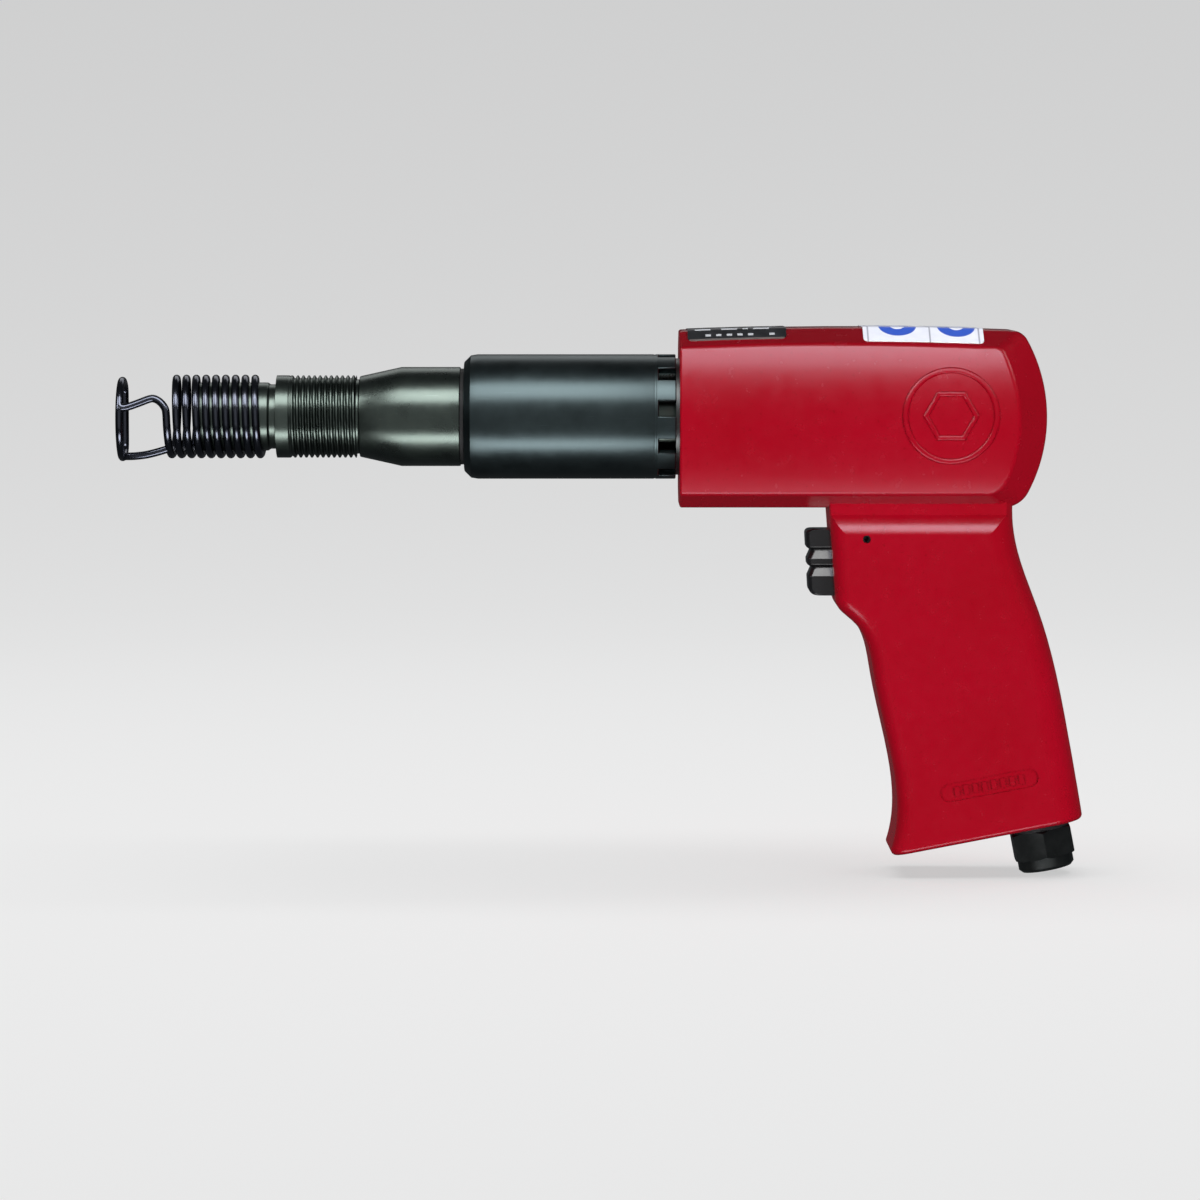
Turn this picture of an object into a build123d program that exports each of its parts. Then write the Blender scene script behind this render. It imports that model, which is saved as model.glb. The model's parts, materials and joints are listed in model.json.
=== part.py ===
from build123d import *
import os

os.makedirs("parts", exist_ok=True)

# Pneumatic air hammer, in millimetres, +Z up.
# The barrel's axis is the X axis and the nose points to -X. The origin is the mouth of the bore that
# takes a chisel's shank. The grip hangs down from the rear of the housing.

# ------------------------------------------------------------------ fits
running_gap = 0.05            # radial clearance of pieces that slide or turn in a bore
assembly_gap = 0.05           # radial clearance of fixed pieces in their seats

# ------------------------------------------------------------------ barrel and what is on it
shank_bore_radius = 5.15
shank_bore_length = 40.0
mouth_chamfer = 1.0           # ahead of the origin
nose_chamfer = 1.0
piston_radius = 9.5
piston_length = 46.0
piston_bore_radius = piston_radius + running_gap

spigot_radius = 11.0          # the retainer spring screws on to this
spigot_length = 22.5
spigot_rear_chamfer = 0.6
neck_radius = 10.4
thread_start = 25.2
thread_end = 50.9
thread_radius = 13.3
thread_depth = 0.95
thread_pitch = 1.8
thread_land = 4.0
thread_overcut = 0.2          # the groove cutter stands this far outside the thread
relief_depth = 1.0            # of the groove between the thread and the taper
taper_start = 52.0
taper_start_radius = 13.0
taper_end = 65.5
barrel_radius = 16.0
barrel_shoulder = 84.5        # the seal ring and the sleeve bear against this
barrel_rear_radius = 15.0
barrel_rear = 186.0
port_count = 6
port_radius = 2.4
port_x = 112.0
barrel_seal_x = 182.0
barrel_seal_seat_radius = 13.6
barrel_seal_seat_width = 2.0
barrel_seal_radius = 14.3
barrel_seal_cord = 0.7

sleeve_front = 85.7
sleeve_rear = 153.9
sleeve_radius = 20.1
sleeve_lip_length = 6.0
sleeve_inner_radius = 17.8
sleeve_chamfer = 2.2
sleeve_round = 0.5            # how far the sleeve's front edge falls away behind its chamfer
slot_count = 10
slot_depth = 5.6
slot_width = 5.2
slot_first_angle = 206.8      # degrees from +Y toward +Z
lock_ring_radius = 18.8
lock_tab_radius = 18.2
lock_tab_thickness = 1.2
lock_tab_side_gap = 0.3
lock_tab_turn = 144.0         # the slot that takes the tab, counted in degrees from the first slot

# ------------------------------------------------------------------ retainer spring
wire_radius = 1.25
coil_radius = spigot_radius + running_gap + wire_radius
coil_pitch = 3.175
coil_front = -9.6
coil_turns = 9.6
gate_front = -24.8
gate_bend = 3.0
gate_radius = 12.4
gate_drop = -0.8              # the front loop hangs a little below the axis
gate_flat_y = 8.2             # its flat side, on +Y
upper_leg = ((-24.8, -12.1, 2.0), (-14.0, -11.0, 6.2), (-9.8, -11.9, 3.0))
lower_leg = ((-24.8, -3.6, -12.7), (-18.0, -5.5, -12.4), (-9.6, -7.0, -10.1))

# ------------------------------------------------------------------ housing and grip
housing_front = 155.0
housing_rear = 272.9
housing_top = 29.0
housing_bottom = -28.8
core_half_width = 13.5
side_half_width = 25.2
side_crown = 3.6              # how far the side falls away crown_reach above and below its middle
crown_reach = 24.0
panel_rear = 263.2
panel_top = 21.8              # of the side at its full width
panel_bottom = -22.4
top_fall = 1.1                # the top line falls this much toward the front and the rear
top_crest = 50.0              # how far its highest point is behind the front
rear_bulge = 8.2              # how far the rear end bulges out
rear_bottom_set = 0.6
silhouette_corners = (6.0, 9.0)
panel_corners = (4.0, 11.0)

grip_half_width = 19.0
neck_half_width = 16.0
shoulder_top = -31.0
shoulder_bottom = -38.5
shoulder_bulge = (17.9, -33.6)
front_edge_radius = 5.0
rear_edge_radius = 9.0
bottom_edge_radius = 1.6

panel_edge_radius = 2.0
core_edge_radius = 3.0
mouth_edge_radius = 0.8

badge_x = 241.3
badge_z = 1.0
badge_radius = 15.5
badge_rim = 1.9
badge_hexagon = 9.0
badge_height = 0.8
badge_round = 0.65

plate_x = 254.5               # the recessed plate on each side of the grip
plate_z = -117.8
plate_length = 32.0
plate_height = 6.0
plate_tilt = 10.7
plate_bar_pitch = 3.0
plate_bar_count = 8
plate_depth = 0.8

lock_notch_z = 16.1
lock_notch_height = 3.4
lock_notch_width = 5.0
lock_notch_depth = 3.2

thread_relief = 1.0           # of the barrel's seat in the housing, at its mouth
valve_bore_radius = 14.4
valve_radius = valve_bore_radius - assembly_gap
valve_box_rear = 203.0
valve_cap_rear = 214.0
gasket_rear = 215.0
cycle_valve_travel = 1.4
dowel_cap_depth = 6.0
chamber_radius = 10.0
chamber_rear = 250.0
chamber_cone = 4.0
dowel_radius = 1.2
dowel_circle = 12.2
air_hole_radius = 1.1
air_hole_count = 6
box_hole_circle = 11.6
cap_hole_circle = 8.2
cap_recess_radius = 7.0
cap_recess_depth = 5.0
valve_passage_radius = 4.0
spool_radius = 5.0
spool_passage_radius = 3.0
spool_float = 0.6
disc_radius = 9.0
spool_bore_front = 190.0
disc_bore_front = 197.0

# ------------------------------------------------------------------ trigger and throttle
trigger_front = 195.7
trigger_back = 220.0
trigger_top = -36.2
trigger_bottom = -57.5
trigger_half_width = 7.5
trigger_travel = 5.0
trigger_gap = 0.15
trigger_rake = 1.2            # the foot of its face is this far behind the top
trigger_top_round = 1.6
trigger_foot_round = 2.6
rib_groove_zs = (-42.9, -48.5)    # where the two finger grooves are deepest
rib_groove_depth = 1.3
rib_groove_rise = 1.1         # from the deepest line up to the face
rib_groove_fall = 2.8         # and down to it, over a flat slope
rib_groove_reach = 11.0       # how far back the side grooves run
pin_x = 214.9
pin_z = -38.7
pin_radius = 1.25
pin_half_length = 15.0
pin_wall = 0.45
pin_slit = 0.35
pin_hole_gap = 0.02
pin_slot_gap = 0.08
pocket_front = 190.0
pocket_end_gap = 1.0

throttle_z = -47.0
bushing_front = 226.0
bushing_rear = 241.0
bushing_radius = 7.0
stem_radius = 2.5
gallery_radius = 4.6
throttle_head_front = 242.0
throttle_head_rear = 246.0
throttle_head_radius = 5.6
throttle_chamber_radius = 6.0
throttle_chamber_rear = 258.0
throttle_neck = 1.0
throttle_tail_length = 3.0
throttle_tail_radius = 2.0
throttle_spring_length = 10.9
throttle_spring_turns = 5
throttle_spring_radius = 3.4
throttle_spring_wire = 0.4
throttle_spring_gap = 0.05
gallery_x = 234.0
gallery_half_width = 2.5
gallery_depth = 1.0
gallery_hole_radius = 1.6
bushing_web = 5.0             # solid length of the bushing round the stem
passage_radius = 3.2
bushing_seal_front = 228.6
bushing_seal_rear = 238.8
bushing_seal_cord = 0.68
bushing_seal_depth = 1.4
bushing_seal_half_width = 0.8
seat_ring_radius = 5.0

# ------------------------------------------------------------------ air inlet, square to the heel of the grip
heel_point = Vector(272.0, 0.0, -131.9)
inlet_direction = Vector(0.1895, 0.0, -0.9819)
inlet_radius = 5.56
inlet_length = 11.0
inlet_mouth = 15.0            # how far the bushing stands below the heel
inlet_mouth_chamfer = 1.0
inlet_collar_radius = 9.0
hex_flats = 19.0
hex_end = 11.0
hex_corner_radius = 9.9       # its corners are turned down to this at both ends
hex_corner_slope = 0.6
hex_outside = 12.0            # beyond the corners
spigot_depth = 14.0
socket_radius = 8.0
screen_seat_radius = 5.0
screen_thickness = 0.7
screen_wire_pitch = 1.3
screen_opening = 0.85
screen_openings = 5
supply_radius = 4.2
gasket_thickness = 2.0
gasket_radius = 9.6
gasket_gap = 0.1
gasket_end_gap = 0.02

# ------------------------------------------------------------------ labels, wrapped over the housing's top
label_thickness = 0.25
label_corner = 1.5
top_label_span = (213.5, 252.0)
top_label_half_width = 20.6
front_label_span = (157.5, 189.0)
front_label_half_width = 19.0

inlet_side = Plane(origin=heel_point, x_dir=inlet_direction, z_dir=(0, -1, 0))
inlet_across = Plane(origin=heel_point, x_dir=(0, 1, 0), z_dir=inlet_direction)
inlet_axis = Axis(heel_point, inlet_direction)
throttle_plane = Plane(origin=(0, 0, throttle_z), x_dir=(1, 0, 0), z_dir=(0, -1, 0))
throttle_axis = Axis((0, 0, throttle_z), (1, 0, 0))


def half_outline(plane, *corners):
    """A closed outline of (distance along the axis, radius) corners, ready to be revolved."""
    with BuildSketch(plane) as outline:
        with BuildLine():
            Polyline(*corners, close=True)
        make_face()
    return outline.sketch


def tube(x_from, x_to, inner, outer):
    """The half outline of a plain tube on the barrel's axis."""
    return half_outline(Plane.XZ, (x_from, inner), (x_to, inner), (x_to, outer), (x_from, outer))


def ring_outline(plane, along, ring_radius, cord_radius):
    """The round section of an O-ring."""
    with BuildSketch(plane) as outline:
        with Locations((along, ring_radius)):
            Circle(cord_radius)
    return outline.sketch


def wire_section(path):
    """The round section of a spring's wire, at the start of its path."""
    with BuildSketch(Plane(origin=path @ 0, z_dir=path % 0)) as section:
        Circle(wire_radius)
    return section.sketch


def housing_outline(y, top, bottom, rear, corners):
    """The housing's outline seen along Y, on the plane at y, with its two rear corners rounded."""
    top_corner, bottom_corner = corners
    with BuildSketch(Plane.XZ.offset(-y)) as outline:
        with BuildLine():
            front_top = (housing_front, top - top_fall)
            rear_top = (rear - rear_bulge, top - top_fall)
            rear_bottom = (rear - rear_bulge - rear_bottom_set, bottom)
            Line((housing_front, bottom), front_top)
            ThreePointArc(front_top, (housing_front + top_crest, top), rear_top)
            ThreePointArc(rear_top, (rear, 0), rear_bottom)
            Line(rear_bottom, (housing_front, bottom))
        make_face()
        lower_corner = outline.vertices().sort_by(Axis.X)[2:].sort_by(Axis.Y)[0]
        fillet(lower_corner, radius=bottom_corner)
        upper_corner = outline.vertices().sort_by(Axis.Y)[-2:].sort_by(Axis.X)[-1]
        fillet(upper_corner, radius=top_corner)
    return outline.sketch


def crowned_section(grow):
    """The housing's section limits: sides crowned from top to bottom, standing grow proud."""
    reach = 40.0
    half_width = side_half_width + grow
    reach_y = half_width - side_crown * (reach / crown_reach) ** 2
    with BuildSketch(Plane.YZ.offset(housing_front)) as section:
        with BuildLine():
            ThreePointArc((-reach_y, -reach), (-half_width, 0), (-reach_y, reach))
            Line((-reach_y, reach), (reach_y, reach))
            ThreePointArc((reach_y, reach), (half_width, 0), (reach_y, -reach))
            Line((reach_y, -reach), (-reach_y, -reach))
        make_face()
    return section.sketch


def housing_shape(grow):
    """The housing without its bores, standing grow proud on top, below, at the rear and at the sides."""
    core_y = core_half_width + grow
    side_y = side_half_width + grow
    silhouette = (housing_top + grow, housing_bottom - grow, housing_rear + grow, silhouette_corners)
    panel = (panel_top + grow, panel_bottom - grow, panel_rear + grow, panel_corners)
    with BuildPart() as shape:
        extrude(housing_outline(0, *silhouette), amount=core_y, both=True)
        for side in (-1, 1):
            loft([housing_outline(side * core_y, *silhouette), housing_outline(side * side_y, *panel)],
                 ruled=True)
        extrude(crowned_section(grow), amount=housing_rear, mode=Mode.INTERSECT)
        behind_front = housing_front + 1
        for side in (-1, 1):
            panel_faces = shape.faces().filter_by(lambda f: side * f.center().Y > side_y - side_crown)
            panel_edges = panel_faces.sort_by(SortBy.AREA)[-1].edges()
            fillet(panel_edges.filter_by(lambda e: e.center().X > behind_front), radius=panel_edge_radius)
        for side in (-1, 1):
            core_edges = shape.edges().filter_by(
                lambda e: abs(e.center().Y - side * core_y) < 0.1 and e.center().X > behind_front)
            fillet(core_edges, radius=core_edge_radius)
        fillet(shape.faces().sort_by(Axis.X)[0].edges(), radius=mouth_edge_radius)
    return shape.part


def wrapped_label(span, half_width):
    """A thin film that follows the housing's top and bevels, with rounded corners."""
    with BuildPart() as film:
        add(housing_shape(label_thickness))
        with BuildSketch(Plane.XY):
            with Locations(((span[0] + span[1]) / 2, 0)):
                RectangleRounded(span[1] - span[0], 2 * half_width, label_corner)
        extrude(amount=2 * housing_top, mode=Mode.INTERSECT)
        add(housing_block, mode=Mode.SUBTRACT)
    return film.part


# ------------------------------------------------------------------ barrel
with BuildPart() as barrel:
    revolve(
        half_outline(
            Plane.XZ,
            (-mouth_chamfer, shank_bore_radius + mouth_chamfer),
            (-mouth_chamfer, spigot_radius - nose_chamfer),
            (nose_chamfer - mouth_chamfer, spigot_radius),
            (spigot_length, spigot_radius),
            (spigot_length + spigot_rear_chamfer, neck_radius),
            (thread_start, neck_radius),
            (thread_start, thread_radius),
            (thread_end, thread_radius),
            (thread_end, taper_start_radius - relief_depth),
            (taper_start, taper_start_radius - relief_depth),
            (taper_start, taper_start_radius),
            (taper_end, barrel_radius),
            (barrel_shoulder, barrel_radius),
            (barrel_shoulder, barrel_rear_radius),
            (barrel_rear, barrel_rear_radius),
            (barrel_rear, piston_bore_radius),
            (shank_bore_length, piston_bore_radius),
            (shank_bore_length, shank_bore_radius),
            (0, shank_bore_radius),
        ),
        axis=Axis.X,
    )
    # Thread ridges, cut as closed rings.
    ridge_count = int((thread_end - thread_start - thread_land) / thread_pitch)
    for ridge in range(ridge_count):
        groove = thread_start + thread_land + ridge * thread_pitch
        revolve(
            half_outline(
                Plane.XZ,
                (groove, thread_radius + thread_overcut),
                (groove + thread_pitch / 2, thread_radius - thread_depth),
                (groove + thread_pitch, thread_radius + thread_overcut),
            ),
            axis=Axis.X,
            mode=Mode.SUBTRACT,
        )
    # Exhaust ports through the wall, under the sleeve.
    with BuildSketch(Plane.XY):
        with Locations((port_x, 0)):
            Circle(port_radius)
    extrude(amount=barrel_radius, both=True, mode=Mode.SUBTRACT)
    # Seat of the rear seal ring.
    seat_front = barrel_seal_x - barrel_seal_seat_width / 2
    seat_rear = barrel_seal_x + barrel_seal_seat_width / 2
    revolve(tube(seat_front, seat_rear, barrel_seal_seat_radius, barrel_radius), axis=Axis.X,
            mode=Mode.SUBTRACT)
barrel.part.label = "barrel"
export_step(barrel.part, "parts/barrel.step")

# ------------------------------------------------------------------ exhaust sleeve
with BuildPart() as exhaust_sleeve:
    lip_end = sleeve_front + sleeve_lip_length
    lip_radius = barrel_rear_radius + assembly_gap
    revolve(
        half_outline(
            Plane.XZ,
            (sleeve_front, lip_radius),
            (sleeve_front, sleeve_radius - sleeve_chamfer),
            (sleeve_front + sleeve_chamfer, sleeve_radius - sleeve_round),
            (sleeve_front + 2 * sleeve_chamfer, sleeve_radius),
            (sleeve_rear, sleeve_radius),
            (sleeve_rear, sleeve_inner_radius),
            (lip_end, sleeve_inner_radius),
            (lip_end, lip_radius),
        ),
        axis=Axis.X,
    )
    with BuildSketch(Plane.YZ.offset(sleeve_rear)):
        with PolarLocations(sleeve_radius, slot_count, start_angle=slot_first_angle):
            Rectangle(4 * (sleeve_radius - sleeve_inner_radius), slot_width)
    extrude(amount=-slot_depth, mode=Mode.SUBTRACT)
exhaust_sleeve.part.label = "exhaust_sleeve"
export_step(exhaust_sleeve.part, "parts/exhaust_sleeve.step")

# ------------------------------------------------------------------ lock ring, tabs bent both ways
with BuildPart() as lock_ring:
    ring_inner = barrel_rear_radius + 2 * assembly_gap
    revolve(tube(sleeve_rear, housing_front, ring_inner, lock_ring_radius), axis=Axis.X)
    with BuildSketch(Plane.YZ.offset(sleeve_rear)):
        with PolarLocations(lock_tab_radius, 1, start_angle=slot_first_angle + lock_tab_turn):
            Rectangle(lock_tab_thickness, slot_width - 2 * lock_tab_side_gap)
    extrude(amount=-slot_depth * 0.7)
    with BuildSketch(Plane.YZ.offset(housing_front)):
        with Locations((0, lock_notch_z + lock_tab_thickness / 2)):
            Rectangle(lock_notch_width - lock_tab_side_gap, lock_tab_thickness)
    extrude(amount=lock_notch_depth - lock_tab_side_gap)
lock_ring.part.label = "lock_ring"
export_step(lock_ring.part, "parts/lock_ring.step")

# ------------------------------------------------------------------ seal rings of the barrel
with BuildPart() as sleeve_seal:
    seal_radius = (barrel_rear_radius + barrel_radius) / 2
    revolve(tube(barrel_shoulder, sleeve_front, barrel_rear_radius, seal_radius), axis=Axis.X)
sleeve_seal.part.label = "sleeve_seal"
export_step(sleeve_seal.part, "parts/sleeve_seal.step")

with BuildPart() as barrel_seal:
    revolve(ring_outline(Plane.XZ, barrel_seal_x, barrel_seal_radius, barrel_seal_cord), axis=Axis.X)
barrel_seal.part.label = "barrel_seal"
export_step(barrel_seal.part, "parts/barrel_seal.step")

# ------------------------------------------------------------------ retainer spring
with BuildPart() as retainer_spring:
    with BuildLine() as coil_path:
        Helix(coil_pitch, coil_pitch * coil_turns, coil_radius,
              center=(coil_front, 0, 0), direction=(1, 0, 0))
    sweep(wire_section(coil_path.line), path=coil_path.line, is_frenet=True)
    # The front loop: a D-shaped ring whose flat side holds a chisel's collar.
    with BuildSketch(Plane.YZ.offset(gate_front), mode=Mode.PRIVATE) as loop:
        with Locations((0, gate_drop)):
            Circle(gate_radius)
        with Locations((gate_flat_y + gate_radius, 0)):
            Rectangle(2 * gate_radius, 4 * gate_radius, mode=Mode.SUBTRACT)
        fillet(loop.vertices().group_by(Axis.X)[-1], radius=gate_bend)
    loop_wire = loop.sketch.faces()[0].outer_wire()
    sweep(wire_section(loop_wire), path=loop_wire)
    # The two legs between the loop and the coil.
    for leg_points in (upper_leg, lower_leg):
        with BuildLine() as leg_path:
            FilletPolyline(*leg_points, radius=gate_bend)
        sweep(wire_section(leg_path.line), path=leg_path.line)
retainer_spring.part.label = "retainer_spring"
export_step(retainer_spring.part, "parts/retainer_spring.step")

# ------------------------------------------------------------------ piston
with BuildPart() as piston:
    piston_rear = barrel_rear - 0.1
    piston_front = piston_rear - piston_length
    front_chamfer = 2.5
    rear_chamfer = 1.5
    groove_front = piston_front + 14.0
    groove_rear = piston_front + 18.0
    groove_depth = 0.8
    cup_radius = 4.0
    cup_depth = 9.0
    cup_cone = 2.3
    revolve(
        half_outline(
            Plane.XZ,
            (piston_front, 0),
            (piston_front, piston_radius - front_chamfer),
            (piston_front + front_chamfer, piston_radius),
            (groove_front, piston_radius),
            (groove_front + groove_depth, piston_radius - groove_depth),
            (groove_rear - groove_depth, piston_radius - groove_depth),
            (groove_rear, piston_radius),
            (piston_rear - rear_chamfer, piston_radius),
            (piston_rear, piston_radius - rear_chamfer),
            (piston_rear, cup_radius),
            (piston_rear - cup_depth, cup_radius),
            (piston_rear - cup_depth - cup_cone, 0),
        ),
        axis=Axis.X,
    )
piston.part.label = "piston"
export_step(piston.part, "parts/piston.step")

# ------------------------------------------------------------------ valve box, valve, cap, dowels, gasket
with BuildPart() as valve_box:
    revolve(
        half_outline(
            Plane.XZ,
            (barrel_rear, valve_passage_radius),
            (barrel_rear, valve_radius),
            (valve_box_rear, valve_radius),
            (valve_box_rear, disc_radius + running_gap),
            (disc_bore_front, disc_radius + running_gap),
            (disc_bore_front, spool_radius + running_gap),
            (spool_bore_front, spool_radius + running_gap),
            (spool_bore_front, valve_passage_radius),
        ),
        axis=Axis.X,
    )
    with BuildSketch(Plane.YZ.offset(barrel_rear)):
        with PolarLocations(dowel_circle, 2):
            Circle(dowel_radius)
        with PolarLocations(box_hole_circle, air_hole_count, start_angle=30):
            Circle(air_hole_radius)
    extrude(amount=valve_box_rear - barrel_rear, mode=Mode.SUBTRACT)
valve_box.part.label = "valve_box"
export_step(valve_box.part, "parts/valve_box.step")

with BuildPart() as cycle_valve:
    disc_front = disc_bore_front + running_gap
    disc_rear = valve_box_rear - cycle_valve_travel - 2 * running_gap
    revolve(
        half_outline(
            Plane.XZ,
            (spool_bore_front + spool_float, spool_passage_radius),
            (spool_bore_front + spool_float, spool_radius),
            (disc_front, spool_radius),
            (disc_front, disc_radius),
            (disc_rear, disc_radius),
            (disc_rear, spool_passage_radius),
        ),
        axis=Axis.X,
    )
cycle_valve.part.label = "cycle_valve"
export_step(cycle_valve.part, "parts/cycle_valve.step")

with BuildPart() as valve_cap:
    revolve(
        half_outline(
            Plane.XZ,
            (valve_box_rear, valve_passage_radius),
            (valve_box_rear, valve_radius),
            (valve_cap_rear, valve_radius),
            (valve_cap_rear, cap_recess_radius),
            (valve_cap_rear - cap_recess_depth, cap_recess_radius),
            (valve_cap_rear - cap_recess_depth, valve_passage_radius),
        ),
        axis=Axis.X,
    )
    with BuildSketch(Plane.YZ.offset(valve_box_rear)):
        with PolarLocations(dowel_circle, 2):
            Circle(dowel_radius)
    extrude(amount=dowel_cap_depth, mode=Mode.SUBTRACT)
    with BuildSketch(Plane.YZ.offset(valve_box_rear)):
        with PolarLocations(cap_hole_circle, air_hole_count, start_angle=30):
            Circle(air_hole_radius)
    extrude(amount=valve_cap_rear - valve_box_rear, mode=Mode.SUBTRACT)
valve_cap.part.label = "valve_cap"
export_step(valve_cap.part, "parts/valve_cap.step")

with BuildPart() as valve_dowels:
    with BuildSketch(Plane.YZ.offset(barrel_rear)):
        with PolarLocations(dowel_circle, 2):
            Circle(dowel_radius - 0.02)
    extrude(amount=valve_box_rear - barrel_rear + dowel_cap_depth - 0.3)
valve_dowels.part.label = "valve_dowels"
export_step(valve_dowels.part, "parts/valve_dowels.step")

with BuildPart() as valve_gasket:
    revolve(tube(valve_cap_rear, gasket_rear, chamber_radius + 0.2, valve_radius), axis=Axis.X)
valve_gasket.part.label = "valve_gasket"
export_step(valve_gasket.part, "parts/valve_gasket.step")

# ------------------------------------------------------------------ handle: housing and grip in one casting
with BuildPart() as grip_block:
    with BuildSketch(Plane.XZ):
        with BuildLine():
            boss_top = (202.5, -22)
            boss_bottom = (205.1, -57)
            toe = (222.4, -141.3)
            heel = (285.3, -129.15)
            tang = (262.7, -22)
            Line(boss_top, boss_bottom)
            Spline(boss_bottom, (206.4, -61.4), (209.6, -64.3), (212.8, -67.6), (217.6, -83.2),
                   (223.2, -109), (225.2, -127), toe)
            Line(toe, heel)
            Spline(heel, (280.8, -103.7), (270.9, -62.8), (263.4, -41), tang)
            Line(tang, boss_top)
        make_face()
    extrude(amount=grip_half_width, both=True)
    for side in (-grip_half_width, grip_half_width):
        side_edges = grip_block.edges().filter_by(lambda e: abs(e.center().Y - side) < 0.1)
        fillet(side_edges.sort_by_distance(Vector(268, side, -60))[0], radius=rear_edge_radius)
        side_edges = grip_block.edges().filter_by(lambda e: abs(e.center().Y - side) < 0.1)
        fillet(side_edges.sort_by(Axis.X)[:2], radius=front_edge_radius)
    heel_face = grip_block.faces().sort_by(Axis.Z)[0]
    fillet(heel_face.edges(), radius=bottom_edge_radius)
    # The neck under the housing, and the rounded shoulders below it.
    neck_top = -21.0
    outside = 22.0
    flank = grip_half_width + 0.1
    with BuildSketch(Plane.YZ.offset(boss_top[0] - 1)):
        for side in (-1, 1):
            with BuildLine():
                Polyline((side * neck_half_width, shoulder_top), (side * neck_half_width, neck_top),
                         (side * outside, neck_top), (side * outside, shoulder_bottom),
                         (side * flank, shoulder_bottom))
                ThreePointArc((side * flank, shoulder_bottom),
                              (side * shoulder_bulge[0], shoulder_bulge[1]),
                              (side * neck_half_width, shoulder_top))
            make_face()
    extrude(amount=heel[0] - boss_top[0], mode=Mode.SUBTRACT)

housing_block = housing_shape(0)

with BuildPart() as badge:
    for side in (-1, 1):
        with BuildSketch(Plane.XZ.offset(side * (side_half_width - side_crown))):
            with Locations((badge_x, badge_z)):
                Circle(badge_radius)
                Circle(badge_radius - badge_rim, mode=Mode.SUBTRACT)
                RegularPolygon(badge_hexagon, 6)
                RegularPolygon(badge_hexagon - badge_rim, 6, mode=Mode.SUBTRACT)
        extrude(amount=side * 2 * side_crown)
    extrude(crowned_section(badge_height), amount=housing_rear, mode=Mode.INTERSECT)
    outer_faces = badge.faces().filter_by(
        lambda f: abs(f.normal_at().Y) > 0.5 and abs(f.center().Y) > side_half_width - side_crown / 2)
    fillet(outer_faces.edges(), radius=badge_round)

with BuildPart() as handle:
    add(housing_block)
    add(grip_block.part)
    add(badge.part)
    # Barrel thread, valve seat and air chamber, bored from the front.
    thread_bore = barrel_rear_radius + assembly_gap
    revolve(
        half_outline(
            Plane.XZ,
            (housing_front - thread_relief, 0),
            (housing_front - thread_relief, thread_bore + 2 * thread_relief),
            (housing_front + thread_relief, thread_bore),
            (barrel_rear, thread_bore),
            (barrel_rear, valve_bore_radius),
            (gasket_rear, valve_bore_radius),
            (gasket_rear, chamber_radius),
            (chamber_rear, chamber_radius),
            (chamber_rear + chamber_cone, 0),
        ),
        axis=Axis.X,
        mode=Mode.SUBTRACT,
    )
    with BuildSketch(Plane.YZ.offset(housing_front)):
        with Locations((0, lock_notch_z)):
            Rectangle(lock_notch_width, lock_notch_height)
    extrude(amount=lock_notch_depth, mode=Mode.SUBTRACT)
    # Trigger pocket.
    pocket_back = trigger_back + trigger_travel + pocket_end_gap
    pocket_height = trigger_top - trigger_bottom + 2 * trigger_gap
    with BuildSketch(Plane.XZ):
        with Locations(((pocket_front + pocket_back) / 2, (trigger_top + trigger_bottom) / 2)):
            Rectangle(pocket_back - pocket_front, pocket_height)
    extrude(amount=trigger_half_width + trigger_gap, both=True, mode=Mode.SUBTRACT)
    # Throttle bore behind the pocket, and the passage from it up to the air chamber.
    revolve(
        half_outline(
            throttle_plane,
            (bushing_front - 1, 0),
            (bushing_front - 1, bushing_radius + assembly_gap),
            (bushing_rear, bushing_radius + assembly_gap),
            (bushing_rear, throttle_chamber_radius),
            (throttle_chamber_rear, throttle_chamber_radius),
            (throttle_chamber_rear, 0),
        ),
        axis=throttle_axis,
        mode=Mode.SUBTRACT,
    )
    passage_bottom = throttle_z + bushing_radius - 2
    with BuildSketch(Plane.XY.offset(passage_bottom)):
        with Locations((gallery_x, 0)):
            Circle(passage_radius)
    extrude(amount=-chamber_radius / 2 - passage_bottom, mode=Mode.SUBTRACT)
    # Pin hole across the grip.
    with BuildSketch(Plane.XZ):
        with Locations((pin_x, pin_z)):
            Circle(pin_radius + pin_hole_gap)
    extrude(amount=grip_half_width + 1, both=True, mode=Mode.SUBTRACT)
    # Inlet socket in the heel, and the passage up the grip to the throttle.
    supply_length = (throttle_z - heel_point.Z) / inlet_direction.Z
    revolve(
        half_outline(
            inlet_side,
            (5, 0),
            (5, socket_radius),
            (-spigot_depth, socket_radius),
            (-spigot_depth, supply_radius),
            (supply_length, supply_radius),
            (supply_length, 0),
        ),
        axis=inlet_axis,
        mode=Mode.SUBTRACT,
    )
    # Shallow panels with plain bars on the sides of the grip.
    for side in (-1, 1):
        with BuildSketch(Plane.XZ.offset(side * (grip_half_width - plate_depth))):
            with Locations(Location((plate_x, plate_z, 0), (0, 0, plate_tilt))):
                SlotOverall(plate_length, plate_height)
                with GridLocations(plate_bar_pitch, 1, plate_bar_count, 1):
                    Rectangle(plate_bar_pitch / 2, plate_height / 2, mode=Mode.SUBTRACT)
        extrude(amount=side * 2, mode=Mode.SUBTRACT)
handle.part.label = "handle"
export_step(handle.part, "parts/handle.step")

# ------------------------------------------------------------------ blank labels on top of the housing
top_label = wrapped_label(top_label_span, top_label_half_width)
top_label.label = "top_label"
export_step(top_label, "parts/top_label.step")

front_label = wrapped_label(front_label_span, front_label_half_width)
front_label.label = "front_label"
export_step(front_label, "parts/front_label.step")

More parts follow.
